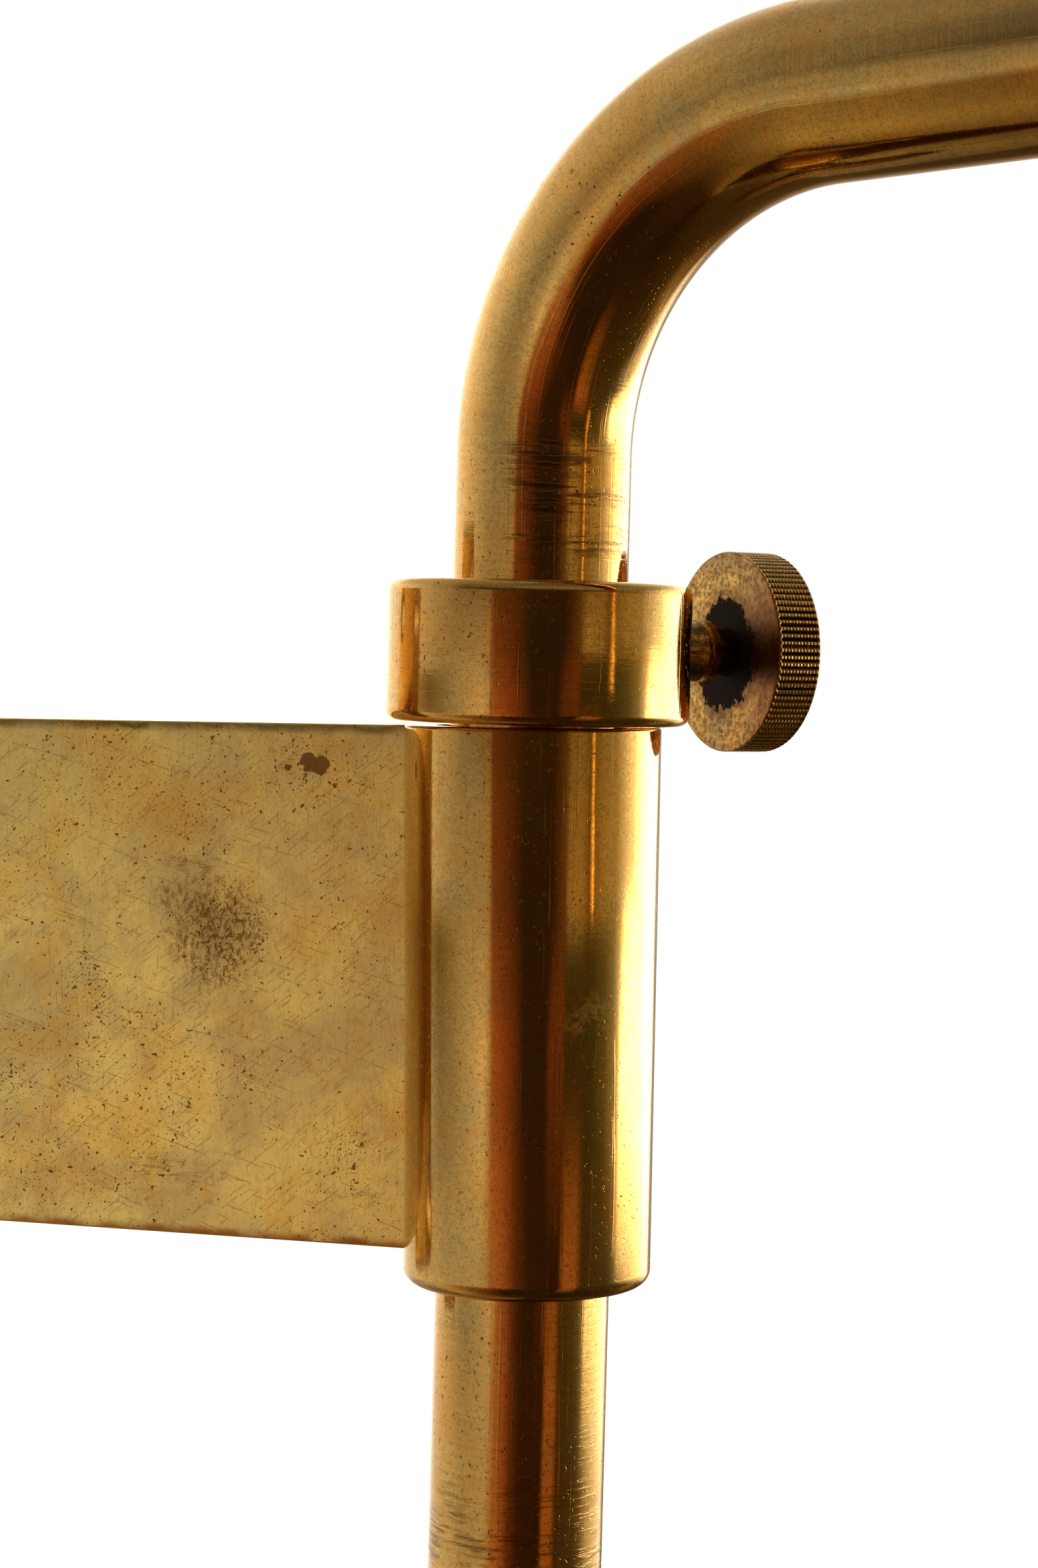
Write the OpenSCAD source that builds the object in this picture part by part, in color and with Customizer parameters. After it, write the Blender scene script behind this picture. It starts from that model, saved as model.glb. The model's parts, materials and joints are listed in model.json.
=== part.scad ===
// Wall bracket with a height-adjustable swing arm, in brass.
// A flat bar carries a sleeve barrel. A bent tube turns and slides in the barrel, and a stop
// collar, locked on the tube by a knurled thumbscrew, rests on the barrel and sets the height.
// Origin: centre of the wall plate's back face. +X runs from the wall to the barrel, +Z is up.

/* [Wall plate] */
// Width of the wall plate, along Y
plate_w = 46; // [40:1:70]
// Height of the wall plate
plate_h = 92; // [86:1:140]
// Thickness of the wall plate
plate_t = 6; // [5:0.5:10]
// Width of the bevel round the plate's front edge
plate_bevel = 1.5; // [0.5:0.1:2]
// Distance between the wall holes across the plate
hole_gap_y = 30; // [26:1:32]
// Distance between the wall holes up the plate
hole_gap_z = 76; // [70:1:78]
// Diameter of a wall hole
wall_hole_d = 5.5; // [4:0.1:6]
// Diameter of a wall hole's countersink
wall_sink_d = 10.5; // [9:0.1:11]

/* [Bar] */
// Height of the flat bar
bar_h = 47.8; // [40:0.1:55]
// Thickness of the flat bar
bar_t = 10; // [8:0.5:12]
// Chamfer along the bar's edges
bar_edge = 0.35; // [0.2:0.05:1]
// Distance from the wall to the barrel's axis
barrel_x = 100; // [60:1:140]

/* [Bar screws] */
// Thread diameter of the screws that hold the bar
bar_screw_d = 5; // [4:0.5:6]
// Length of the screws that hold the bar, head included
bar_screw_l = 20; // [16:1:30]
// Distance between the two bar screws
bar_screw_gap = 28; // [20:1:32]

/* [Sleeve barrel] */
// Length of the barrel
barrel_l = 51; // [48:1:60]
// Diameter of the barrel at its top
barrel_top_d = 23.6; // [22:0.1:26]
// Diameter of the barrel at its bottom
barrel_bottom_d = 22.7; // [22:0.1:26]
// Diameter of the plain bore, with play for the tube
bore_d = 17.2; // [17.1:0.1:18]
// Radius of the barrel's lower edge
barrel_edge_r = 1.5; // [0.5:0.1:2]

/* [Arm tube] */
// Outer diameter of the tube
tube_d = 16; // [15.8:0.1:16]
// Wall thickness of the tube
tube_wall = 1.5; // [1:0.1:2]
// Lean of the arm in the barrel's play, in degrees, towards the arm's own side
lean = 1.1; // [0:0.1:1.1]
// Turn of the arm about the barrel at rest, in degrees from the bar's direction
arm_turn = -18; // [-80:1:80]
// Height at which the first bend starts, above the barrel's top
bend_up = 24.5; // [20:0.5:60]
// Centre-line radius of both bends
bend_r = 31; // [24:1:50]
// Angle of the first bend, in degrees
bend_angle = 87; // [80:1:90]
// Length of the straight run between the bends
run_l = 188; // [100:1:300]
// Length of the straight stretch after the second bend
drop_l = 34; // [24:1:80]
// Length of the tube under the barrel
tail_l = 130; // [60:1:200]

/* [Foot cap] */
// Diameter of the foot cap's rim
foot_d = 19.5; // [18:0.1:22]
// Height of the foot cap's rim
foot_h = 5; // [4:0.5:10]
// Length of the foot cap's spigot inside the tube
foot_spigot_l = 10; // [6:1:16]

/* [End socket] */
// Diameter of the end socket
socket_d = 20; // [19:0.5:24]
// Length of the end socket
socket_l = 26; // [24:1:36]
// Depth to which the tube goes into the socket
socket_cup = 11; // [8:0.5:12]
// Diameter of the threaded hole in the socket's end
socket_hole_d = 9; // [8:0.5:12]
// Depth of the threaded hole
socket_hole_l = 12; // [8:0.5:12]

/* [Grub screws] */
// Diameter of the grub screws in the foot cap and the end socket
grub_d = 3; // [2.5:0.1:3.5]
// Length of the grub screws
grub_l = 4.5; // [4:0.1:5]

/* [Stop collar] */
// Diameter of the collar
collar_d = 27.8; // [25:0.1:30]
// Height of the collar
collar_h = 12.8; // [12:0.1:16]
// Radius of the collar's edges
collar_edge_r = 1; // [0.3:0.1:1.4]
// Gap between the barrel's top and the collar
collar_gap = 0.35; // [0.35:0.05:1]
// Radial play of the tube in the collar
collar_play = 0.05; // [0.03:0.01:0.1]

/* [Thumbscrew] */
// Direction of the thumbscrew at rest, in degrees from the bar's direction
screw_turn = 47; // [20:0.5:90]
// Height of the thumbscrew above the middle of the collar
screw_up = 0.4; // [0:0.1:1]
// Outer diameter of the thumbscrew's thread
screw_d = 5.8; // [5.8:0.1:6.2]
// Radial play of the thread in the collar
screw_play = 0.05; // [0.03:0.01:0.1]
// Diameter of the neck between the thread and the head
neck_d = 4.4; // [3.8:0.1:4.8]
// Diameter of the knurled head
head_d = 18.8; // [16:0.1:24]
// Thickness of the knurled head
head_t = 4.6; // [3:0.1:8]
// Gap between the collar and the head
head_gap = 6.2; // [4:0.1:8]
// Diameter of the pad at the thumbscrew's tip
pad_d = 4.8; // [4:0.1:5]
// Thickness of the pad
pad_t = 1.2; // [1:0.1:1.6]
// Gap between the pad and the tube
pad_gap = 0.2; // [0.15:0.05:0.4]

/* [Hidden] */
$fn = 96;
over = 1;                  // how far a cutter runs past the face it cuts
lap = 0.01;                // how far two fused solids run into each other
fit_play = 0.05;           // radial play between pieces that are joined for good
brass = "#b5935a";
polished = "#a9783a";
dull = "#8a6a38";
steel = "#8f8f92";

barrel_top_z = bar_h / 2;  // the barrel's top is flush with the bar's
barrel_mid_z = barrel_top_z - barrel_l / 2;
plate_corner_r = 5;
bar_screw_head_d = 2 * bar_screw_d;
bar_screw_sink = (bar_screw_head_d - bar_screw_d) / 2;
bar_screw_inset = 0.2;      // how deep the heads sit under the plate's back face
bar_screw_slot_w = 1.2;
bar_screw_slot_l = 1.4;
barrel_top_edge = 0.4;     // chamfer of the barrel's upper edge
bore_edge = 0.4;           // chamfer of the bore's edges
barrel_edge_out = 0.02;    // sets the lower edge out a little, to clear the barrel's taper

// Heights along the leaning arm, measured from the barrel's mid point
collar_low = barrel_l / 2 + collar_gap;
collar_high = collar_low + collar_h;
bend_low = barrel_l / 2 + bend_up;
tail_low = -barrel_l / 2 - tail_l;

foot_screw_z = tail_low + foot_spigot_l / 2;
foot_low_r = 2;            // radius of the rim's lower edge
foot_high_r = 0.8;         // radius of the rim's upper edge
foot_hole_below = 0.3;     // how much deeper than its screw the cap's hole is
socket_screw_z = socket_l - 2.8;   // above the socket's cup end
socket_cup_r = 1.2;        // radius of the cup's edge
socket_end_r = 0.8;        // radius of the edge at the threaded end
socket_groove_r = 0.9;     // radius of the groove's section
socket_groove_out = 0.3;   // distance of that section's centre outside the socket
grub_slot_w = 0.6;
grub_slot_l = 0.8;
foot_screw_inset = 0.1;
socket_screw_inset = 0.2;

// Distances along the thumbscrew, measured from the tube's axis
pad_near = tube_d / 2 + pad_gap;
stem_near = pad_near + pad_t + fit_play;
head_near = collar_d / 2 + head_gap;
neck_l = 2.0;              // from the thread's end to the head
neck_near = head_near - neck_l;
stem_groove_back = 3.2;    // distance of the stem's groove from the head
stem_groove_r = 0.2;
head_near_r = 0.35;        // radius of the head's edge towards the collar
head_far_r = 0.35;         // radius of the head's outer edge
pad_pin_d = 2;
pad_pin_l = 2.5;
pad_pin_play = 0.2;        // free depth past the pin's end
stem_in_head = 3;
stem_in_head_play = 0.1;

bend_lap = 0.3;            // how far a straight stretch of tube runs into a bend
bend_thinning = 0.02;      // how much a bend's wall is thinner on each side

// Places its children in the arm's frame: origin at the barrel's mid point, leaning as the arm does
module on_arm(turn = arm_turn) {
  translate([barrel_x, 0, barrel_mid_z])
    rotate([0, 0, arm_turn])
      rotate([0, lean, 0])
        rotate([0, 0, turn - arm_turn])
          children();
}

// Places its children along the thumbscrew: +Z is the outward axis, origin on the tube's axis
module on_screw() {
  on_arm(screw_turn)
    translate([0, 0, collar_low + collar_h / 2 + screw_up])
      rotate([0, 90, 0])
        children();
}

// Corner of a turned profile, to be cut away for a round edge that faces +X and +Y
module round_corner(r) {
  translate([-r, -r])
    difference() {
      square(r + over);
      circle(r, $fn = 48);
    }
}

// A hole along +Z with a cone at its mouth, which lies at z = 0 and opens downwards
module countersunk_hole(d, mouth_d, l) {
  translate([0, 0, -over])
    cylinder(d = d, h = l + over);
  cone_h = (mouth_d - d) / 2;
  translate([0, 0, -lap])
    cylinder(d1 = mouth_d + 2 * lap, d2 = d, h = cone_h + lap);
}

// Two bevelled prisms across each other, with a bevelled round post in each corner
module wall_plate_blank() {
  flat_h = plate_h / 2 - plate_corner_r;
  flat_w = plate_w / 2 - plate_corner_r;
  r = plate_corner_r;
  b = plate_bevel;
  low = plate_t - b;
  section = [[-r, 0], [r, 0], [r, low], [r - b, plate_t], [b - r, plate_t], [-r, low]];
  module across(half_l, half_w) {
    widen = [for (p = section) [p.x + sign(p.x) * half_w, p.y]];
    rotate([90, 0, 0])
      translate([0, 0, -half_l])
        linear_extrude(2 * half_l)
          polygon(widen);
  }
  rotate([0, 90, 0])
    union() {
      across(flat_w, flat_h);
      rotate(90)
        across(flat_h, flat_w);
      for (h = [-1, 1], w = [-1, 1])
        translate([h * flat_h, w * flat_w]) {
          cylinder(r = r, h = low);
          translate([0, 0, low])
            cylinder(r1 = r, r2 = r - b, h = b);
        }
    }
}

module wall_plate() {
  color(brass)
    difference() {
      wall_plate_blank();
      for (y = [-1, 1], z = [-1, 1])
        translate([plate_t, y * hole_gap_y / 2, z * hole_gap_z / 2])
          rotate([0, -90, 0])
            countersunk_hole(wall_hole_d, wall_sink_d, plate_t + over);
      for (z = [-1, 1])
        translate([0, 0, z * bar_screw_gap / 2])
          rotate([0, 90, 0])
            countersunk_hole(bar_screw_d + 2 * fit_play, bar_screw_head_d, plate_t + over);
    }
}

module flat_bar() {
  bar_l = barrel_x - plate_t;
  y = bar_t / 2;
  z = bar_h / 2;
  e = bar_edge;
  color(brass)
    difference() {
      translate([plate_t, 0, 0])
        rotate([90, 0, 90])
          linear_extrude(bar_l)
            polygon([[-y + e, -z], [y - e, -z], [y, -z + e], [y, z - e],
                     [y - e, z], [-y + e, z], [-y, z - e], [-y, -z + e]]);
      translate([barrel_x, 0, barrel_mid_z])
        barrel_envelope();
      for (s = [-1, 1])
        translate([plate_t - over, 0, s * bar_screw_gap / 2])
          rotate([0, 90, 0])
            cylinder(d = bar_screw_d + 2 * fit_play, h = bar_screw_l - plate_t + 2 * over);
    }
}

module bar_screws() {
  color(steel)
    for (s = [-1, 1])
      translate([0, 0, s * bar_screw_gap / 2])
        rotate([0, 90, 0])
          difference() {
            union() {
              translate([0, 0, bar_screw_inset])
                cylinder(d1 = bar_screw_head_d - 2 * bar_screw_inset, d2 = bar_screw_d,
                         h = bar_screw_sink - bar_screw_inset);
              translate([0, 0, bar_screw_sink - lap])
                cylinder(d = bar_screw_d, h = bar_screw_l - bar_screw_sink + lap);
            }
            translate([-bar_screw_head_d / 2, -bar_screw_slot_w / 2, -over])
              cube([bar_screw_head_d, bar_screw_slot_w, over + bar_screw_slot_l]);
          }
}

// Outer shape of the barrel, long enough to cope the bar's end
module barrel_envelope() {
  slope = (barrel_top_d - barrel_bottom_d) / 2 / barrel_l;
  translate([0, 0, -barrel_l / 2 - over])
    cylinder(r1 = barrel_bottom_d / 2 - slope * over, r2 = barrel_top_d / 2 + slope * over,
             h = barrel_l + 2 * over);
}

module sleeve_barrel() {
  low = -barrel_l / 2;
  high = barrel_l / 2;
  color(polished)
    translate([barrel_x, 0, barrel_mid_z])
      rotate_extrude($fn = 128)
        difference() {
          polygon([[bore_d / 2, low], [barrel_bottom_d / 2, low],
                   [barrel_top_d / 2, high - barrel_top_edge],
                   [barrel_top_d / 2 - barrel_top_edge, high], [bore_d / 2, high]]);
          translate([barrel_bottom_d / 2 + barrel_edge_out, low])
            mirror([0, 1])
              round_corner(barrel_edge_r);
          translate([bore_d / 2, low])
            rotate(45)
              square(bore_edge * sqrt(2), center = true);
          translate([bore_d / 2, high])
            rotate(45)
              square(bore_edge * sqrt(2), center = true);
        }
}

// The tube's cross-section, thinned by as much on both sides of its wall
module tube_ring(thinned = 0) {
  difference() {
    circle(tube_d / 2 - thinned);
    circle(tube_d / 2 - tube_wall + thinned);
  }
}

// A straight stretch along +Z that runs a little way into the bends at its ends
module straight_tube(l, laps = 2) {
  rotate([0, 0, 180])
    translate([0, 0, -bend_lap])
      linear_extrude(l + laps * bend_lap)
        tube_ring();
}

// A bent stretch of tube from +Z towards +X, starting at the origin
module bent_tube(angle) {
  translate([bend_r, 0, 0])
    rotate([90, 0, 180])
      rotate_extrude(angle = angle)
        translate([bend_r, 0])
          tube_ring(bend_thinning);
}

// Places its children at the end of such a bend, with +Z carried on along the tube
module past_bend(angle) {
  translate([bend_r, 0, 0])
    rotate([0, angle, 0])
      translate([-bend_r, 0, 0])
        children();
}

// Places its children at the start of the arm's straight run, with +Z along it and +X below it
module on_run() {
  on_arm()
    translate([0, 0, bend_low])
      past_bend(bend_angle)
        children();
}

// A bend and the straight stretch that follows it
module hook(angle, l) {
  bent_tube(angle);
  past_bend(angle)
    straight_tube(l, laps = 1);
}

module arm_tube() {
  color(polished)
    difference() {
      on_run() {
        straight_tube(run_l);
        translate([0, 0, run_l])
          hook(180 - bend_angle, drop_l);
        mirror([0, 0, 1])
          hook(bend_angle, bend_low - tail_low);
      }
      on_foot_screw()
        translate([0, 0, tube_d / 2 - 2 * tube_wall])
          cylinder(d = grub_d + 2 * fit_play, h = 3 * tube_wall, $fn = 48);
    }
}

// Places its children on the foot cap's grub screw: +Z points out, origin on the tube's axis
module on_foot_screw() {
  on_arm()
    translate([0, 0, foot_screw_z])
      rotate([-90, 0, 0])
        children();
}

// Places its children on the end socket's grub screw, in the same way
module on_socket_screw() {
  at_drop_end()
    translate([0, 0, socket_screw_z - socket_cup])
      rotate([90, 0, 0])
        children();
}

// A slotted grub screw along +Z that ends at out
module grub_screw(out) {
  difference() {
    translate([0, 0, out - grub_l])
      cylinder(d = grub_d, h = grub_l, $fn = 48);
    translate([-grub_d, -grub_slot_w / 2, out - grub_slot_l])
      cube([2 * grub_d, grub_slot_w, over + grub_slot_l]);
  }
}

module foot_screw() {
  color(steel)
    on_foot_screw()
      grub_screw(tube_d / 2 - foot_screw_inset);
}

module socket_screw() {
  color(steel)
    on_socket_screw()
      grub_screw(socket_d / 2 - socket_screw_inset);
}

module foot_cap() {
  color(brass)
    difference() {
      on_arm()
        translate([0, 0, tail_low])
          rotate_extrude()
            difference() {
              union() {
                translate([0, -foot_h])
                  square([foot_d / 2, foot_h]);
                square([tube_d / 2 - tube_wall - fit_play, foot_spigot_l]);
              }
              translate([foot_d / 2, -foot_h])
                mirror([0, 1])
                  round_corner(foot_low_r);
              translate([foot_d / 2, 0])
                round_corner(foot_high_r);
            }
      on_foot_screw()
        translate([0, 0, tube_d / 2 - grub_l - foot_hole_below])
          cylinder(d = grub_d + 2 * fit_play, h = grub_l + over, $fn = 48);
    }
}

// Places its children at the tube's outer end, with +Z along the tube's last stretch
module at_drop_end() {
  on_run()
    translate([0, 0, run_l])
      past_bend(180 - bend_angle)
        translate([0, 0, drop_l])
          children();
}

module end_socket() {
  color(brass)
    difference() {
      at_drop_end()
        translate([0, 0, -socket_cup])
          rotate_extrude()
            difference() {
              square([socket_d / 2, socket_l]);
              translate([0, -over])
                square([tube_d / 2 + fit_play, socket_cup + over]);
              translate([0, socket_l - socket_hole_l])
                square([socket_hole_d / 2, socket_hole_l + over]);
              translate([socket_d / 2, 0])
                mirror([0, 1])
                  round_corner(socket_cup_r);
              translate([socket_d / 2, socket_l])
                round_corner(socket_end_r);
              translate([socket_d / 2 + socket_groove_out, socket_cup])
                circle(socket_groove_r, $fn = 32);
            }
      on_socket_screw()
        translate([0, 0, socket_hole_d / 4])
          cylinder(d = grub_d + 2 * fit_play, h = socket_d / 2, $fn = 48);
    }
}

module stop_collar() {
  color(polished)
    difference() {
      on_arm()
        rotate_extrude($fn = 128)
          difference() {
            translate([tube_d / 2 + collar_play, collar_low])
              square([collar_d / 2 - tube_d / 2 - collar_play, collar_h]);
            translate([collar_d / 2, collar_low])
              mirror([0, 1])
                round_corner(collar_edge_r);
            translate([collar_d / 2, collar_high])
              round_corner(collar_edge_r);
          }
      on_screw()
        translate([0, 0, tube_d / 4])
          cylinder(r = screw_d / 2 + screw_play, h = collar_d / 2);
    }
}

module tip_pad() {
  color(dull)
    on_screw()
      union() {
        translate([0, 0, pad_near])
          cylinder(d = pad_d, h = pad_t, $fn = 48);
        translate([0, 0, pad_near + pad_t - lap])
          cylinder(d = pad_pin_d, h = pad_pin_l + lap, $fn = 48);
      }
}

module thumbscrew_stem() {
  color(dull)
    on_screw()
      difference() {
        union() {
          translate([0, 0, stem_near])
            cylinder(d = screw_d, h = neck_near - stem_near);
          translate([0, 0, neck_near - lap])
            cylinder(d = neck_d, h = lap + neck_l + stem_in_head);
        }
        translate([0, 0, stem_near - over])
          cylinder(r = pad_pin_d / 2 + fit_play, h = over + pad_pin_l + pad_pin_play, $fn = 48);
        translate([0, 0, head_near - stem_groove_back])
          rotate_extrude()
            translate([screw_d / 2, 0])
              circle(stem_groove_r, $fn = 24);
      }
}

module thumbscrew_head() {
  color(dull)
    on_screw()
      translate([0, 0, head_near])
        rotate_extrude($fn = 128)
          difference() {
            square([head_d / 2, head_t]);
            translate([0, -over])
              square([neck_d / 2 + fit_play, over + stem_in_head + stem_in_head_play]);
            translate([head_d / 2, head_t])
              round_corner(head_far_r);
            translate([head_d / 2, 0])
              mirror([0, 1])
                round_corner(head_near_r);
          }
}

wall_plate();
flat_bar();
bar_screws();
sleeve_barrel();
arm_tube();
foot_cap();
foot_screw();
end_socket();
socket_screw();
stop_collar();
tip_pad();
thumbscrew_stem();
thumbscrew_head();
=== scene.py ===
import json
import math
import random

import bmesh
import bpy
from mathutils import Matrix, Vector, noise


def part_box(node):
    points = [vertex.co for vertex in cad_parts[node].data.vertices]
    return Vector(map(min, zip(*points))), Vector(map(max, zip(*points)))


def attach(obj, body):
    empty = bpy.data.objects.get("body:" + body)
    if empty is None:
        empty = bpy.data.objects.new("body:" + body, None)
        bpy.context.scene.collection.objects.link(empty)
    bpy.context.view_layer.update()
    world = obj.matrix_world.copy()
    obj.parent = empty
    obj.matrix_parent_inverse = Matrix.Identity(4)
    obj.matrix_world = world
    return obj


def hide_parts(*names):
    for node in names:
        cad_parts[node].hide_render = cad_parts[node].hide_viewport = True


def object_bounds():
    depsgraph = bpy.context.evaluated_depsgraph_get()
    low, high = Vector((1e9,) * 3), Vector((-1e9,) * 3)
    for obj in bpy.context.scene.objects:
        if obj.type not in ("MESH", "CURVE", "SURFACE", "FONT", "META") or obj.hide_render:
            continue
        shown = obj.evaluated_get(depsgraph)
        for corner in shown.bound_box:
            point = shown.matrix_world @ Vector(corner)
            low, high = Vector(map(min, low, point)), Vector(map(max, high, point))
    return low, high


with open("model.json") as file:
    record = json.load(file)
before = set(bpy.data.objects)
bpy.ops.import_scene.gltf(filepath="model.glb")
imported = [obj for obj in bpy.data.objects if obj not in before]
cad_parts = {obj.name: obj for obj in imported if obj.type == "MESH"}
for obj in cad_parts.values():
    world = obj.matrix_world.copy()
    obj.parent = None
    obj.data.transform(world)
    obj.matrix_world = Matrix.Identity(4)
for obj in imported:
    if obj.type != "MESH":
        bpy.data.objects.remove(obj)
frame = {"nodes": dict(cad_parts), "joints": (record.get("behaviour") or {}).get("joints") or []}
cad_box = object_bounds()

MM = 0.001

# Sizes repeated from the CAD source, in millimetres
BARREL_L = 51.0
BARREL_TOP_R = 11.8
BARREL_BOTTOM_R = 11.35
BORE_R = 8.6
BAR_T = 10.0
PLATE_T = 6.0
TUBE_R = 8.0
TUBE_WALL = 1.5
BEND_UP = 24.5
BEND_R = 31.0
BEND_ANGLE = math.radians(87)
RUN_L = 188.0
DROP_L = 34.0
TAIL_L = 130.0
FOOT_R = 9.75
FOOT_H = 5.0
FOOT_SPIGOT_L = 10.0
SOCKET_R = 10.0
SOCKET_L = 26.0
SOCKET_CUP = 11.0
SOCKET_HOLE_R = 4.5
SOCKET_HOLE_L = 12.0
SOCKET_GRUB_DOWN = 2.8
GRUB_R = 1.5
THREAD_PITCH = 1.0
COLLAR_R = 13.9
COLLAR_H = 12.8
COLLAR_GAP = 0.35
PLAY = 0.05
SCREW_R = 2.9
NECK_R = 2.2
HEAD_R = 9.4
HEAD_T = 4.6
HEAD_GAP = 6.2
PAD_NEAR = TUBE_R + 0.2
STEM_NEAR = PAD_NEAR + 1.2 + PLAY
HEAD_NEAR = COLLAR_R + HEAD_GAP
NECK_NEAR = HEAD_NEAR - 2.0
STEM_IN_HEAD = 3.0
STEM_GROOVE_BACK = 3.2
SCREW_UP = 0.4

# Heights along the leaning arm, from the barrel's mid point
COLLAR_LOW = BARREL_L / 2 + COLLAR_GAP
COLLAR_HIGH = COLLAR_LOW + COLLAR_H
COLLAR_MID = (COLLAR_LOW + COLLAR_HIGH) / 2
BEND_LOW = BARREL_L / 2 + BEND_UP
TAIL_LOW = -BARREL_L / 2 - TAIL_L

CAMERA_AZIMUTH = math.radians(18)
CAMERA_PITCH = math.radians(2.1)
CAMERA_ROLL = math.radians(0.6)
CAMERA_LENS = 76.0
CAMERA_SENSOR = 36.0
CAMERA_LEFT = 1.2
CAMERA_LOW = 5.3
CAMERA_AWAY = 302.0


def joint(name):
    """The CAD's joint with the given name."""
    return next(j for j in frame["joints"] if j["name"] == name)


def frame_matrix(x_axis, z_axis, origin):
    """A frame with the given Z axis, and an X axis as near as it can be to the given one."""
    y_axis = z_axis.cross(x_axis).normalized()
    x_axis = y_axis.cross(z_axis).normalized()
    m = Matrix((x_axis, y_axis, z_axis)).transposed().to_4x4()
    m.translation = origin
    return m


barrel_low, barrel_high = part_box("sleeve_barrel")
barrel_mid = (barrel_low + barrel_high) / 2
arm_axis = Vector(joint("arm_height")["axis"])
screw_axis = Vector(joint("thumbscrew_turn")["axis"])
arm_heading = Vector((arm_axis.x, arm_axis.y, 0)).normalized()

BARREL_FRAME = Matrix.Translation(barrel_mid)
ARM_FRAME = frame_matrix(arm_heading, arm_axis, barrel_mid)
SCREW_FRAME = frame_matrix(arm_axis, screw_axis, barrel_mid + arm_axis * (COLLAR_MID + SCREW_UP) * MM)


# ---------------------------------------------------------------- mesh helpers


def new_piece(name, mesh, matrix, body, material, node):
    """Puts a mesh in the scene as a piece of a body, in place of a CAD node."""
    piece = bpy.data.objects.new(name, mesh)
    bpy.context.scene.collection.objects.link(piece)
    piece.matrix_world = matrix
    mesh.materials.clear()
    mesh.materials.append(material)
    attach(piece, body)
    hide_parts(node)


def shade(mesh, sharp_degrees=32):
    """Smooth shading that keeps edges steeper than the given angle crisp."""
    limit = math.radians(sharp_degrees)
    work = bmesh.new()
    work.from_mesh(mesh)
    bmesh.ops.recalc_face_normals(work, faces=work.faces)
    for face in work.faces:
        face.smooth = True
    for edge in work.edges:
        edge.smooth = len(edge.link_faces) == 2 and edge.calc_face_angle(math.pi) < limit
    work.to_mesh(mesh)
    work.free()
    return mesh


def grid_mesh(name, rings, close_ends=False):
    """A mesh through rings of equal length, each closed on itself; the last ring joins the first
    unless close_ends fills both ends."""
    count = len(rings[0])
    verts = [v for ring in rings for v in ring]
    faces = []
    last = len(rings) - 1 if close_ends else len(rings)
    for i in range(last):
        j = (i + 1) % len(rings)
        for k in range(count):
            n = (k + 1) % count
            faces.append((i * count + k, i * count + n, j * count + n, j * count + k))
    if close_ends:
        faces.append(tuple(range(count))[::-1])
        faces.append(tuple((len(rings) - 1) * count + k for k in range(count)))
    mesh = bpy.data.meshes.new(name)
    mesh.from_pydata([[c * MM for c in v] for v in verts], [], faces)
    return mesh


def turned(name, profile, segments=192, radius=None):
    """Revolves a closed profile of (radius, height) points about Z. radius(r, z, angle) may change
    a point's radius, for a thread or a knurl. Points on the axis are merged."""
    rings = []
    for r, z in profile:
        ring = []
        for k in range(segments):
            angle = 2 * math.pi * k / segments
            reach = radius(r, z, angle) if radius else r
            ring.append((reach * math.cos(angle), reach * math.sin(angle), z))
        rings.append(ring)
    mesh = grid_mesh(name, rings)
    work = bmesh.new()
    work.from_mesh(mesh)
    bmesh.ops.remove_doubles(work, verts=work.verts, dist=1e-7)
    bmesh.ops.dissolve_degenerate(work, dist=1e-8, edges=work.edges)
    work.to_mesh(mesh)
    work.free()
    return shade(mesh)


def arc(cx, cz, r, start, end, steps=7):
    """Points of a profile's round edge, from one angle to another in degrees."""
    turns = [math.radians(start + (end - start) * i / steps) for i in range(steps + 1)]
    return [(cx + r * math.cos(t), cz + r * math.sin(t)) for t in turns]


def line(a, b, steps):
    """Points from a to b without b itself."""
    return [(a[0] + (b[0] - a[0]) * i / steps, a[1] + (b[1] - a[1]) * i / steps)
            for i in range(steps)]


def drill(mesh, matrix, radius, low, high):
    """Cuts a round hole along the given frame's Z axis, from low to high, out of a mesh."""
    turns = [2 * math.pi * k / 64 for k in range(64)]
    rings = [[(radius * math.cos(a), radius * math.sin(a), z) for a in turns] for z in (low, high)]
    cutter = grid_mesh("drill", rings, close_ends=True)
    cutter.transform(matrix)
    shade(cutter)
    host = bpy.data.objects.new("host", mesh)
    tool = bpy.data.objects.new("tool", cutter)
    for o in (host, tool):
        bpy.context.scene.collection.objects.link(o)
    cut = host.modifiers.new("cut", "BOOLEAN")
    cut.operation = "DIFFERENCE"
    cut.solver = "EXACT"
    cut.object = tool
    bpy.context.view_layer.update()
    depsgraph = bpy.context.evaluated_depsgraph_get()
    result = bpy.data.meshes.new_from_object(host.evaluated_get(depsgraph))
    result.name = mesh.name
    for o in (host, tool):
        bpy.data.objects.remove(o)
    return shade(result)


def keep_straight_coordinates(mesh, coordinates):
    """Stores each point's place on the straightened part, for materials that follow a bend."""
    layer = mesh.attributes.new("straight", "FLOAT_VECTOR", "POINT")
    layer.data.foreach_set("vector", [c * MM for v in coordinates for c in v])


# ---------------------------------------------------------------- materials


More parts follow.
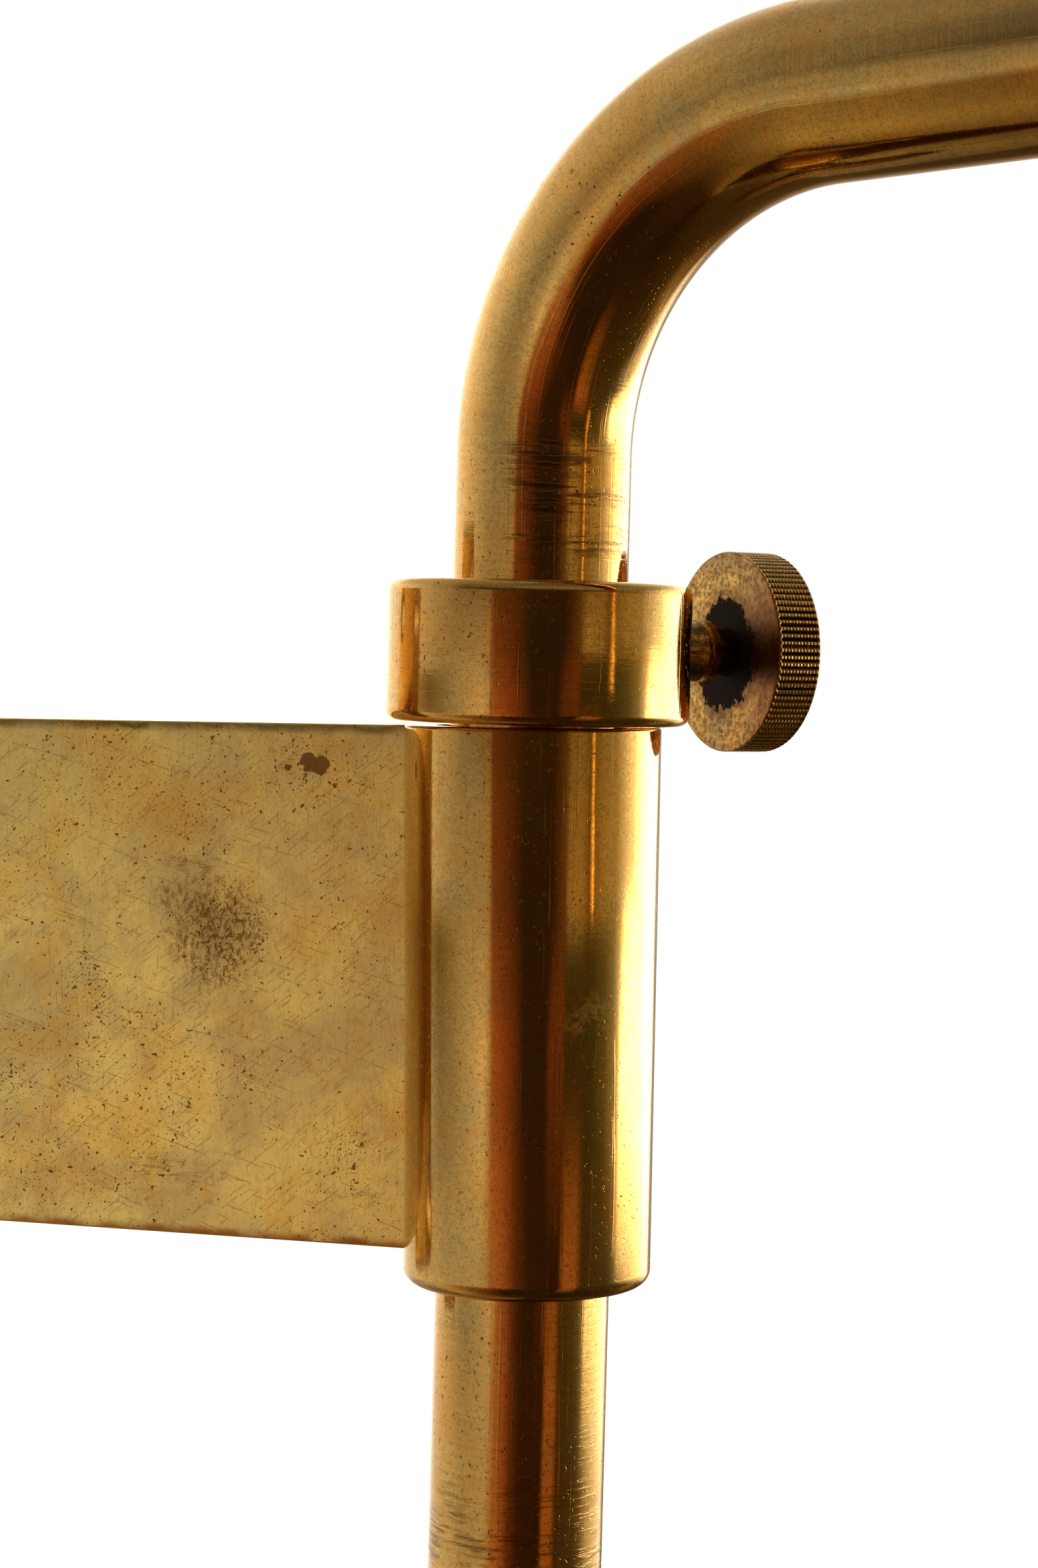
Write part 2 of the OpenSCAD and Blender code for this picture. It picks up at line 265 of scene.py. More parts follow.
class Nodes:
    """A short way to write a material's node tree."""

    def __init__(self, name):
        self.material = bpy.data.materials.new(name)
        self.material.use_nodes = True
        self.tree = self.material.node_tree
        self.shader = self.tree.nodes["Principled BSDF"]

    @classmethod
    def over(cls, tree):
        self = cls.__new__(cls)
        self.tree = tree
        return self

    def add(self, kind, inputs=(), out=0, **settings):
        node = self.tree.nodes.new(kind)
        for key, value in settings.items():
            setattr(node, key, value)
        for key, value in dict(inputs).items():
            self.feed(node.inputs[key], value)
        return node.outputs[out]

    def feed(self, socket, value):
        if isinstance(value, bpy.types.NodeSocket):
            self.tree.links.new(value, socket)
        else:
            socket.default_value = value

    def math(self, operation, a, b=0.0, clamp=False):
        return self.add("ShaderNodeMath", {0: a, 1: b}, operation=operation, use_clamp=clamp)

    def place(self, vector, scale=(1, 1, 1), shift=(0, 0, 0)):
        return self.add("ShaderNodeMapping", {"Vector": vector, "Scale": scale, "Location": shift})

    def noise(self, vector, scale, detail=3.0, rough=0.5, distortion=0.0):
        return self.add("ShaderNodeTexNoise", {"Vector": vector, "Scale": scale, "Detail": detail,
                                               "Roughness": rough, "Distortion": distortion})

    def step(self, value, low, high, to_low=0.0, to_high=1.0):
        """Maps low..high onto to_low..to_high with a smooth step, clamped."""
        return self.add("ShaderNodeMapRange", {"Value": value, "From Min": low, "From Max": high,
                                               "To Min": to_low, "To Max": to_high},
                        interpolation_type="SMOOTHSTEP")

    def mix(self, factor, a, b):
        node = self.tree.nodes.new("ShaderNodeMix")
        node.data_type = "RGBA"
        for index, value in ((0, factor), (6, a), (7, b)):
            self.feed(node.inputs[index], value)
        return node.outputs[2]

    def blend(self, factor, a, b):
        """Mix of two plain numbers."""
        node = self.tree.nodes.new("ShaderNodeMix")
        for index, value in ((0, factor), (2, a), (3, b)):
            self.feed(node.inputs[index], value)
        return node.outputs[0]

    def specks(self, vector, scale, rarity):
        """Small ragged specks: 1 inside, 0 outside. The nearer rarity is to 1, the fewer."""
        return self.step(self.noise(vector, scale, 1.5, 0.5), rarity, rarity + 0.05)

    def streaks(self, vector, stretch, scale, rarity, turn=(0, 0, 0)):
        """Fine parallel scratches of uneven length: 1 inside, 0 outside."""
        laid = self.add("ShaderNodeMapping", {"Vector": vector, "Rotation": turn})
        laid = self.place(laid, stretch)
        return self.step(self.noise(laid, scale, 2.0, 0.6), rarity, rarity + 0.06)

    def bump(self, height, distance, normal=None):
        inputs = {"Height": height, "Distance": distance}
        if normal:
            inputs["Normal"] = normal
        return self.add("ShaderNodeBump", inputs)

    def ripple(self, distance, ragged, depth):
        """A distance that a noise makes longer here and shorter there."""
        return self.math("ADD", distance, self.math("MULTIPLY", self.math("SUBTRACT", ragged, 0.5), depth))

    def from_place(self, vector, centre, ragged=None, depth=0.0):
        """The distance from a place on the surface, in metres, with a ragged border if asked."""
        away = self.add("ShaderNodeVectorMath", {0: vector, 1: centre}, out=1, operation="DISTANCE")
        return self.ripple(away, ragged, depth) if ragged else away

    def near(self, vector, centre, reach, ragged=None, depth=0.0):
        """1 at a place on the surface, falling to 0 at the given distance, in metres."""
        return self.step(self.from_place(vector, centre, ragged, depth), reach, reach * 0.2)


def rgb(r, g, b):
    return (r, g, b, 1.0)


GOLD = rgb(0.90, 0.53, 0.14)
DEEP_GOLD = rgb(0.86, 0.42, 0.09)
OLIVE = rgb(0.62, 0.45, 0.17)
TAN = rgb(0.64, 0.46, 0.14)
PALE_GOLD = rgb(1.0, 0.74, 0.22)
PALE_OLIVE = rgb(0.97, 0.73, 0.27)
ORANGE = rgb(1.0, 0.6, 0.13)
DULL_GOLD = rgb(0.80, 0.45, 0.09)
MOSS = rgb(0.42, 0.31, 0.12)
BROWN = rgb(0.42, 0.22, 0.07)
RUST = rgb(0.36, 0.14, 0.035)
UMBER = rgb(0.15, 0.06, 0.02)
BLACK_BROWN = rgb(0.03, 0.018, 0.008)
STEEL = rgb(0.48, 0.47, 0.45)
DARK_STEEL = rgb(0.22, 0.20, 0.18)


def polished_brass(name, along="object", scuffs=(), tarnish=0.6, rough=0.05, rings=0.0, dark_end=None,
                   smears=()):
    """Polished brass under a thin uneven film: a fine mottle of grey-gold and orange-gold, small
    pits and long scratches. scuffs are stretches along Z of marks that run round the piece,
    each (low, high, side, strength), where side is the X beyond which they lie. rings is the
    strength of such marks everywhere. dark_end is the stretch along Z over which the colour
    turns browner, staying browner beyond it.
    smears are patches of dried film, each (x, y, z, reach). All places are in millimetres."""
    n = Nodes(name)
    if along == "straight":
        at = n.add("ShaderNodeAttribute", out=1, attribute_name="straight")
    else:
        at = n.add("ShaderNodeTexCoord", out=3)
    cloud = n.noise(at, 150.0, 4.0, 0.62)
    drift = n.noise(n.place(at, shift=(0.2, 0.4, 0.1)), 60.0, 3.0, 0.55)
    grain = n.noise(at, 1500.0, 4.0, 0.7)
    fine = n.noise(at, 4200.0, 2.0, 0.6)
    apart = n.add("ShaderNodeSeparateXYZ", {0: at}, out=0)
    height = n.add("ShaderNodeSeparateXYZ", {0: at}, out=2)

    film = n.step(n.math("ADD", n.math("MULTIPLY", cloud, 0.5), n.math("MULTIPLY", grain, 0.5)),
                  0.42, 0.6)
    color = n.mix(n.math("MULTIPLY", film, tarnish), GOLD, OLIVE)
    color = n.mix(n.step(grain, 0.5, 0.6, 0.0, 0.8), color, DEEP_GOLD)
    color = n.mix(n.step(drift, 0.5, 0.62, 0.0, 0.6), color, DEEP_GOLD)
    color = n.mix(n.step(fine, 0.5, 0.64, 0.0, 0.5), color, BROWN)
    if dark_end:
        color = n.mix(n.step(height, dark_end[0] * MM, dark_end[1] * MM, 0.0, 0.5), color, BROWN)

    patches = n.noise(n.place(at, shift=(0.6, 0.1, 0.3)), 340.0, 5.0, 0.7, 0.6)
    color = n.mix(n.step(patches, 0.52, 0.62, 0.0, 0.55), color, DEEP_GOLD)
    pits = n.specks(at, 2300.0, 0.67)
    pits = n.math("MULTIPLY", pits, n.step(drift, 0.42, 0.62, 0.1, 1.0))
    color = n.mix(n.math("MULTIPLY", pits, 0.85), color, UMBER)

    long_marks = n.streaks(at, (1.0, 1.0, 0.015), 2400.0, 0.62)
    round_marks = n.streaks(at, (0.06, 0.06, 1.0), 3200.0, 0.52)
    rubs = n.streaks(at, (0.3, 0.3, 1.0), 900.0, 0.5)
    worn = rings
    smeared = None
    for low, high, side, strength in scuffs:
        soft = 0.2 * (high - low) * MM
        inside = n.math("MULTIPLY", n.step(height, low * MM, low * MM + soft),
                        n.step(height, high * MM, high * MM - soft))
        inside = n.math("MULTIPLY", inside, n.step(apart, side * MM, (side + 3) * MM))
        patchy = n.noise(n.place(at, (0.7, 0.7, 1.6)), 190.0, 3.0, 0.6)
        patch = n.math("MULTIPLY", inside, n.step(patchy, 0.42, 0.56, 0.0, strength))
        worn = n.math("MAXIMUM", patch, worn)
        smeared = n.math("MAXIMUM", patch, smeared) if smeared else patch
    marks = n.math("MULTIPLY", round_marks, worn)
    color = n.mix(n.math("MULTIPLY", marks, 0.8, clamp=True), color, UMBER)
    if smeared:
        rubbed = n.math("MULTIPLY", n.math("MULTIPLY", rubs, smeared), 0.65, clamp=True)
        color = n.mix(rubbed, color, BROWN)

    rough_value = n.blend(film, rough, rough + 0.035)
    if smears:
        ragged = n.noise(at, 420.0, 4.0, 0.75)
    for x, y, z, reach in smears:
        greasy = n.near(at, (x * MM, y * MM, z * MM), reach * MM, ragged, 0.009)
        greasy = n.math("MULTIPLY", greasy, n.step(ragged, 0.42, 0.5))
        color = n.mix(n.math("MULTIPLY", greasy, 0.7), color, TAN)
        rough_value = n.math("ADD", rough_value, n.math("MULTIPLY", greasy, 0.22))
    rough_value = n.math("ADD", rough_value, n.step(fine, 0.4, 0.7, 0.0, 0.04))
    rough_value = n.math("ADD", rough_value, n.math("MULTIPLY", marks, 0.15))
    rough_value = n.math("ADD", rough_value, n.math("MULTIPLY", pits, 0.2))
    normal = n.bump(n.noise(at, 75.0, 1.0, 0.3), 0.00007)
    normal = n.bump(long_marks, 0.000005, normal)
    normal = n.bump(marks, 0.00001, normal)
    normal = n.bump(grain, 0.0000035, normal)
    normal = n.bump(n.math("SUBTRACT", 1.0, pits), 0.00002, normal)
    n.feed(n.shader.inputs["Base Color"], color)
    n.feed(n.shader.inputs["Roughness"], rough_value)
    n.feed(n.shader.inputs["Normal"], normal)
    n.shader.inputs["Metallic"].default_value = 1.0
    return n.material


def satin_brass(name, rough=(0.16, 0.3), blots=(), stains=(), specked=(), glows=()):
    """Satin brass with a mottled film, fine pits and crossing scratches. The rest lie at places
    (x, z) of the bar's front, with a reach, all in millimetres: blots are solid dark spots,
    stains are brown and hairy, each with its flatness and strength, specked are showers of dark
    specks, and glows are orange."""
    n = Nodes(name)
    at = n.add("ShaderNodeTexCoord", out=3)
    cloud = n.noise(at, 120.0, 5.0, 0.65, 0.4)
    drift = n.noise(n.place(at, shift=(0.3, 0.1, 0.7)), 62.0, 4.0, 0.6, 0.5)
    grain = n.noise(at, 1300.0, 4.0, 0.7)
    ragged = n.noise(at, 520.0, 4.0, 0.75)

    def place_of(x, z):
        return (x * MM, -BAR_T / 2 * MM, z * MM)

    color = n.mix(n.step(cloud, 0.38, 0.6), PALE_GOLD, PALE_OLIVE)
    warmth = n.noise(n.place(at, (1.0, 1.0, 0.7), (0.5, 0.2, 0.3)), 210.0, 5.0, 0.7, 0.8)
    color = n.mix(n.step(warmth, 0.52, 0.66, 0.0, 0.75), color, ORANGE)
    color = n.mix(n.step(drift, 0.53, 0.68, 0.0, 0.6), color, ORANGE)
    for x, z, reach in glows:
        warm = n.near(at, place_of(x, z), reach * MM, ragged, 0.006)
        color = n.mix(n.math("MULTIPLY", warm, 0.6), color, ORANGE)
    brushed = n.noise(n.place(at, (1.0, 1.0, 0.3)), 2600.0, 3.0, 0.7)
    color = n.mix(n.step(grain, 0.5, 0.64, 0.0, 0.4), color, GOLD)
    color = n.mix(n.step(brushed, 0.5, 0.66, 0.0, 0.2), color, BROWN)

    crowd = n.step(drift, 0.44, 0.60, 0.15, 1.0)
    for x, z, reach in specked:
        shower = n.math("MULTIPLY", n.near(at, place_of(x, z), reach * MM), 1.6)
        crowd = n.math("MAXIMUM", crowd, shower)
    rarity = n.math("SUBTRACT", 0.75, n.math("MULTIPLY", crowd, 0.065))
    dots = n.step(n.math("SUBTRACT", n.noise(at, 2300.0, 1.5, 0.5), rarity), 0.0, 0.03)
    dust = n.step(n.math("SUBTRACT", n.noise(at, 4600.0, 1.0, 0.5), n.math("ADD", rarity, -0.02)),
                  0.0, 0.04, 0.0, 0.7)
    dark = n.math("MAXIMUM", dots, dust)
    for x, z, reach, flat, strength in stains:
        away = n.from_place(n.place(at, (1.0, 1.0, flat)), place_of(x, z * flat), ragged, 0.009)
        inside = n.step(away, reach * MM, reach * 0.1 * MM)
        stretch = (0.7, 1.0, 0.45) if flat < 1.5 else (0.15, 1.0, 1.0)
        hairs = n.noise(n.place(at, stretch), 3000.0, 4.0, 0.75, 0.6)
        color = n.mix(n.math("MULTIPLY", inside, 0.4 * strength), color, RUST)
        hairy = n.math("MULTIPLY", n.math("MULTIPLY", inside, strength), n.step(hairs, 0.5, 0.62))
        dark = n.math("MAXIMUM", dark, hairy)
    for x, z, reach in blots:
        away = n.from_place(at, place_of(x, z), ragged, 0.0022)
        dark = n.math("MAXIMUM", dark, n.step(away, reach * MM * 1.05, reach * MM * 0.9))
    color = n.mix(n.math("MULTIPLY", dark, 0.85), color, RUST)

    slant = n.streaks(at, (0.06, 1.0, 1.0), 4600.0, 0.62, (0, math.radians(38), 0))
    cross = n.streaks(at, (0.05, 1.0, 1.0), 3900.0, 0.66, (0, math.radians(-17), 0))
    upright = n.streaks(at, (1.0, 1.0, 0.05), 3600.0, 0.66)
    marks = n.math("MAXIMUM", n.math("MAXIMUM", slant, cross), upright)
    color = n.mix(n.math("MULTIPLY", marks, 0.1), color, BROWN)

    rough_value = n.step(cloud, 0.3, 0.7, *rough)
    rough_value = n.math("ADD", rough_value, n.math("MULTIPLY", dark, 0.2))
    normal = n.bump(n.noise(at, 60.0, 1.0, 0.3), 0.00006)
    normal = n.bump(marks, 0.000006, normal)
    normal = n.bump(n.math("ADD", grain, brushed), 0.000006, normal)
    normal = n.bump(n.math("SUBTRACT", 1.0, dark), 0.000015, normal)
    n.feed(n.shader.inputs["Base Color"], color)
    n.feed(n.shader.inputs["Roughness"], rough_value)
    n.feed(n.shader.inputs["Normal"], normal)
    n.shader.inputs["Metallic"].default_value = 1.0
    return n.material


def turned_brass(name, rough=(0.26, 0.42), dirt=0.5, residue=None, patches=(), groove_floor=None):
    """Dull brass with fine turning marks round the Z axis and dirt. residue is the reach of the
    black residue round the neck along X and Y. patches are areas on the head's near face, each
    (x, y, reach, colour, strength); the umber and brown ones are painted shade, the others stains.
    groove_floor is the radius of a knurl's groove floor, towards which the grooves turn darker;
    the knurls' crests carry a painted highlight. All lengths are in millimetres."""
    n = Nodes(name)
    at = n.add("ShaderNodeTexCoord", out=3)
    away = n.add("ShaderNodeVectorMath", {0: n.place(at, (1, 1, 0))}, out=1, operation="LENGTH")
    height = n.add("ShaderNodeSeparateXYZ", {0: at}, out=2)
    cloud = n.noise(at, 240.0, 4.0, 0.65)
    drift = n.noise(n.place(at, shift=(0.1, 0.3, 0.2)), 160.0, 3.0, 0.6)
    grain = n.noise(at, 1700.0, 4.0, 0.75)
    ragged = n.noise(n.place(at, (1, 1, 0.2)), 650.0, 5.0, 0.8)
    ring_noise = n.noise(n.add("ShaderNodeCombineXYZ", {0: away}), 1500.0, 4.0, 0.75)
    color = n.mix(n.step(cloud, 0.4, 0.6), DULL_GOLD, TAN)
    color = n.mix(n.step(drift, 0.42, 0.62, 0.0, dirt), color, MOSS)
    for x, y, reach, tint, strength in patches:
        patch = n.near(at, (x * MM, y * MM, HEAD_NEAR * MM), reach * MM, ragged, 0.003)
        color = n.mix(n.math("MULTIPLY", patch, strength), color, tint)
    color = n.mix(n.step(ring_noise, 0.44, 0.58, 0.0, 0.55), color, RUST)
    color = n.mix(n.step(grain, 0.44, 0.6, 0.0, 0.8), color, UMBER)
    rough_value = n.step(cloud, 0.3, 0.7, *rough)
    if groove_floor:
        low = n.step(away, (groove_floor + 0.2) * MM, (groove_floor + 0.05) * MM)
        side = n.math("MULTIPLY", n.step(away, (groove_floor - 0.2) * MM, (groove_floor - 0.1) * MM),
                      n.step(height, (HEAD_NEAR + 0.1) * MM, (HEAD_NEAR + 0.3) * MM))
        color = n.mix(n.math("MULTIPLY", side, 0.55), color, BROWN)
        # Painted highlight: the knurls' crests are painted a lighter orange.
        crest = n.math("MULTIPLY", side, n.step(away, (HEAD_R - 0.06) * MM, (HEAD_R - 0.02) * MM))
        color = n.mix(n.math("MULTIPLY", crest, 0.7), color, ORANGE)
        # Darker towards the groove floor.
        color = n.mix(n.math("MULTIPLY", low, n.math("MULTIPLY", side, 0.9)), color, BLACK_BROWN)
    if residue:
        across, along = residue
        spread = n.place(at, (1 / across, 1 / along, 0), (0.3 * MM / across, 0, 0))
        edge = n.add("ShaderNodeVectorMath", {0: spread}, out=1, operation="LENGTH")
        edge = n.ripple(edge, ragged, 0.0009)
        edge = n.math("ADD", edge, n.step(height, (HEAD_NEAR + 0.5) * MM, (HEAD_NEAR + 0.6) * MM))
        smudge = n.step(edge, 1.4 * MM, MM, 0.0, 0.7)
        color = n.mix(n.math("MULTIPLY", smudge, n.step(drift, 0.35, 0.6)), color, UMBER)
        black = n.step(edge, 1.02 * MM, 0.98 * MM)
        color = n.mix(black, color, BLACK_BROWN)
        rough_value = n.blend(black, rough_value, 0.75)
    n.feed(n.shader.inputs["Base Color"], color)
    n.feed(n.shader.inputs["Roughness"], rough_value)
    normal = n.bump(ring_noise, 0.000025)
    normal = n.bump(grain, 0.000025, normal)
    n.feed(n.shader.inputs["Normal"], normal)
    n.shader.inputs["Metallic"].default_value = 1.0
    return n.material


def plain_steel(name):
    """Slightly dull steel for the small screws."""
    n = Nodes(name)
    at = n.add("ShaderNodeTexCoord", out=3)
    cloud = n.noise(at, 300.0, 4.0, 0.6)
    grain = n.noise(at, 3000.0, 2.0, 0.6)
    color = n.mix(n.step(cloud, 0.4, 0.65), STEEL, DARK_STEEL)
    n.feed(n.shader.inputs["Base Color"], color)
    n.feed(n.shader.inputs["Roughness"], n.step(grain, 0.3, 0.7, 0.28, 0.5))
    n.feed(n.shader.inputs["Normal"], n.bump(grain, 0.000008))
    n.shader.inputs["Metallic"].default_value = 1.0
    return n.material


# ---------------------------------------------------------------- pieces


def make_barrel(material):
    """The barrel, with a round lower edge, a crisper upper one and a chamfered bore."""
    low, high = -BARREL_L / 2, BARREL_L / 2
    low_edge, high_edge, chamfer = 1.5, 0.35, 0.4
    profile = ([(BORE_R + chamfer, low)]
               + arc(BARREL_BOTTOM_R - low_edge, low + low_edge, low_edge, -90, 0, 9)
               + arc(BARREL_TOP_R - high_edge, high - high_edge, high_edge, 0, 90, 5)
               + [(BORE_R + chamfer, high), (BORE_R, high - chamfer), (BORE_R, low + chamfer)])
    new_piece("barrel_turned", turned("barrel_turned", profile, 256), BARREL_FRAME, "bracket",
              material, "sleeve_barrel")


def make_collar(material):
    """The stop collar, with rounded edges, a chamfered bore and the thumbscrew's hole."""
    edge, chamfer, bore = 1.0, 0.3, TUBE_R + PLAY
    profile = ([(bore + chamfer, COLLAR_LOW)]
               + arc(COLLAR_R - edge, COLLAR_LOW + edge, edge, -90, 0)
               + arc(COLLAR_R - edge, COLLAR_HIGH - edge, edge, 0, 90)
               + [(bore + chamfer, COLLAR_HIGH), (bore, COLLAR_HIGH - chamfer),
                  (bore, COLLAR_LOW + chamfer)])
    mesh = turned("collar_turned", profile, 256)
    mesh = drill(mesh, ARM_FRAME.inverted() @ SCREW_FRAME, SCREW_R + PLAY, TUBE_R / 2, COLLAR_R + 2)
    new_piece("collar_turned", mesh, ARM_FRAME, "collar", material, "stop_collar")


def tube_stations():
    """Places along the tube's centre line: (distance, x, z, angle from upright)."""
    out = []

    def straight(x, z, angle, length, start, steps):
        for i in range(steps):
            s = length * i / steps
            out.append((start + s, x + s * math.sin(angle), z + s * math.cos(angle), angle))
        return x + length * math.sin(angle), z + length * math.cos(angle)

    def bend(x, z, angle, turn, start, steps):
        cx, cz = x + BEND_R * math.cos(angle), z - BEND_R * math.sin(angle)
        for i in range(steps):
            a = angle + turn * i / steps
            out.append((start + BEND_R * turn * i / steps, cx - BEND_R * math.cos(a),
                        cz + BEND_R * math.sin(a), a))
        a = angle + turn
        return cx - BEND_R * math.cos(a), cz + BEND_R * math.sin(a)

    second = math.pi - BEND_ANGLE
    x, z = straight(0, TAIL_LOW, 0, BEND_LOW - TAIL_LOW, TAIL_LOW, 60)
    x, z = bend(x, z, 0, BEND_ANGLE, BEND_LOW, 64)
    s = BEND_LOW + BEND_R * BEND_ANGLE
    x, z = straight(x, z, BEND_ANGLE, RUN_L, s, 48)
    s += RUN_L
    x, z = bend(x, z, BEND_ANGLE, second, s, 64)
    s += BEND_R * second
    x, z = straight(x, z, math.pi, DROP_L, s, 12)
    out.append((s + DROP_L, x, z, math.pi))
    return out


def make_tube(material):
    """The bent tube, drawn along its centre line, with the hole for the foot's grub screw."""
    segments = 160
    rings, places = [], []
    stations = tube_stations()
    for radius, order in ((TUBE_R, stations), (TUBE_R - TUBE_WALL, stations[::-1])):
        for s, x, z, angle in order:
            ring = []
            for k in range(segments):
                turn = 2 * math.pi * k / segments
                across, side = radius * math.cos(turn), radius * math.sin(turn)
                ring.append((x + across * math.cos(angle), side, z - across * math.sin(angle)))
                places.append((across, side, s))
            rings.append(ring)
    mesh = grid_mesh("arm_tube_drawn", rings)
    keep_straight_coordinates(mesh, places)
    shade(mesh)
    foot_hole = Matrix.Translation((0, 0, (TAIL_LOW + FOOT_SPIGOT_L / 2) * MM)) @ Matrix.Rotation(
        -math.pi / 2, 4, "X")
    mesh = drill(mesh, foot_hole, GRUB_R + PLAY, TUBE_R - 2 * TUBE_WALL, TUBE_R + 1)
    new_piece("arm_tube_drawn", mesh, ARM_FRAME, "arm", material, "arm_tube")


def end_frame():
    """The frame at the tube's outer end, with +Z along its last stretch."""
    _, x, z, angle = tube_stations()[-1]
    local = Matrix.Translation((x * MM, 0, z * MM)) @ Matrix.Rotation(angle, 4, "Y")
    return ARM_FRAME @ local


def make_foot(material):
    """The cap in the tube's lower end: a round-edged rim and a spigot."""
    low, top = TAIL_LOW - FOOT_H, TAIL_LOW + FOOT_SPIGOT_L
    low_edge, high_edge = 2, 0.8
    spigot = TUBE_R - TUBE_WALL - PLAY
    profile = ([(0, low)] + arc(FOOT_R - low_edge, low + low_edge, low_edge, -90, 0)
               + arc(FOOT_R - high_edge, TAIL_LOW - high_edge, high_edge, 0, 90)
               + [(spigot, TAIL_LOW), (spigot, top), (0, top)])
    new_piece("foot_cap_turned", turned("foot_cap_turned", profile), ARM_FRAME, "arm", material,
              "foot_cap")


def make_socket(material):
    """The socket on the arm's outer end: a cup round the tube, a groove, and a threaded hole."""
    low, high = -SOCKET_CUP, SOCKET_L - SOCKET_CUP
    floor = high - SOCKET_HOLE_L
    cup_r = TUBE_R + PLAY
    low_edge, high_edge, chamfer = 1.2, 0.8, 0.4
    groove_half, groove_r, groove_out = 0.8, 0.9, 0.3
    thread_depth = 0.3

    def threaded(r, z, angle):
        if r > SOCKET_HOLE_R + 0.01 or z < floor + 1 or z > high - chamfer:
            return r
        phase = (z / THREAD_PITCH + angle / (2 * math.pi)) % 1.0
        return r + thread_depth * (1 - abs(2 * phase - 1))

    profile = ([(cup_r, 0), (cup_r, low)]
               + arc(SOCKET_R - low_edge, low + low_edge, low_edge, -90, 0)
               + [(SOCKET_R, -groove_half)] + arc(SOCKET_R + groove_out, 0, groove_r, 250, 110, 8)
               + [(SOCKET_R, groove_half)]
               + arc(SOCKET_R - high_edge, high - high_edge, high_edge, 0, 90)
               + [(SOCKET_HOLE_R + chamfer, high)]
               + line((SOCKET_HOLE_R, high - chamfer), (SOCKET_HOLE_R, floor), 110)
               + [(SOCKET_HOLE_R, floor), (0, floor), (0, 0)])
    mesh = turned("end_socket_turned", profile, 128, threaded)
    grub_up = high - SOCKET_GRUB_DOWN
    side = Matrix.Translation((0, 0, grub_up * MM)) @ Matrix.Rotation(math.pi / 2, 4, "X")
    mesh = drill(mesh, side, GRUB_R + PLAY, SOCKET_HOLE_R / 2, SOCKET_R + 1)
    new_piece("end_socket_turned", mesh, end_frame(), "arm", material, "end_socket")


def make_stem(material):
    """The thumbscrew's stem: thread inside the collar, plain shank with a groove, then a neck."""
    thread_end = COLLAR_R + 0.4
    groove = HEAD_NEAR - STEM_GROOVE_BACK
    thread_depth, groove_r, edge = 0.55, SCREW_R - 0.25, 0.2
    stem_end = HEAD_NEAR + STEM_IN_HEAD
    tip_hole_r, tip_hole_end = 1.05, STEM_NEAR + 2.7

    def threaded(r, z, angle):
        if r < SCREW_R - 0.01 or z > thread_end or z < STEM_NEAR + 0.3:
            return r
        phase = (z / THREAD_PITCH - angle / (2 * math.pi)) % 1.0
        return r - thread_depth * abs(2 * phase - 1)

    profile = ([(tip_hole_r, STEM_NEAR), (SCREW_R - 0.5, STEM_NEAR)]
               + line((SCREW_R, STEM_NEAR + 0.3), (SCREW_R, thread_end), 90)
               + [(SCREW_R, thread_end), (SCREW_R, groove - 0.3), (groove_r, groove - 0.1),
                  (groove_r, groove + 0.1), (SCREW_R, groove + 0.3), (SCREW_R, NECK_NEAR - edge),
                  (SCREW_R - edge, NECK_NEAR), (NECK_R, NECK_NEAR), (NECK_R, stem_end), (0, stem_end),
                  (0, tip_hole_end), (tip_hole_r, tip_hole_end)])
    mesh = turned("thumbscrew_stem_turned", profile, 96, threaded)
    new_piece("thumbscrew_stem_turned", mesh, SCREW_FRAME, "thumbscrew", material,
              "thumbscrew_stem")


def make_head(material):
    """The knurled head: straight knurls, unevenly worn, with fine cross marks."""
    knurls, per_knurl, depth = 88, 9, 0.22
    tick_depth, tick_gap = 0.06, 0.36
    near_edge, far_edge = 0.15, 0.35
    low, high = HEAD_NEAR, HEAD_NEAR + HEAD_T
    socket_r, socket_end = NECK_R + PLAY, low + STEM_IN_HEAD + 0.1
    rng = random.Random(7)
    wear = [rng.uniform(0.7, 1.0) for _ in range(knurls)]

    def knurled(r, z, angle):
        if r < HEAD_R - far_edge:
            return r
        turn = angle * knurls / (2 * math.pi)
        phase = turn % 1.0
        crest = 1 - abs(2 * phase - 1)
        groove = depth * wear[int(turn) % knurls] * (1 - min(1.0, 1.6 * crest))
        rim = min(1.0, max(0.0, (z - low - 0.1) / 0.25), max(0.0, (high - 0.1 - z) / 0.25))
        tick = tick_depth * (0.5 + 0.5 * math.cos(2 * math.pi * z / tick_gap))
        return r - rim * (groove + tick)

    profile = ([(socket_r, socket_end), (socket_r, low)]
               + line((socket_r + 0.01, low), (HEAD_R - near_edge - 0.06, low), 24)
               + arc(HEAD_R - near_edge, low + near_edge, near_edge, -90, 0, 4)
               + line((HEAD_R, low + near_edge + 0.1), (HEAD_R, high - far_edge - 0.05), 48)
               + arc(HEAD_R - far_edge, high - far_edge, far_edge, 0, 90, 5)
               + line((HEAD_R - far_edge - 0.05, high), (0.5, high), 16)
               + [(0, high), (0, socket_end)])
    mesh = turned("thumbscrew_head_knurled", profile, knurls * per_knurl, knurled)
    new_piece("thumbscrew_head_knurled", mesh, SCREW_FRAME, "thumbscrew", material,
              "thumbscrew_head")


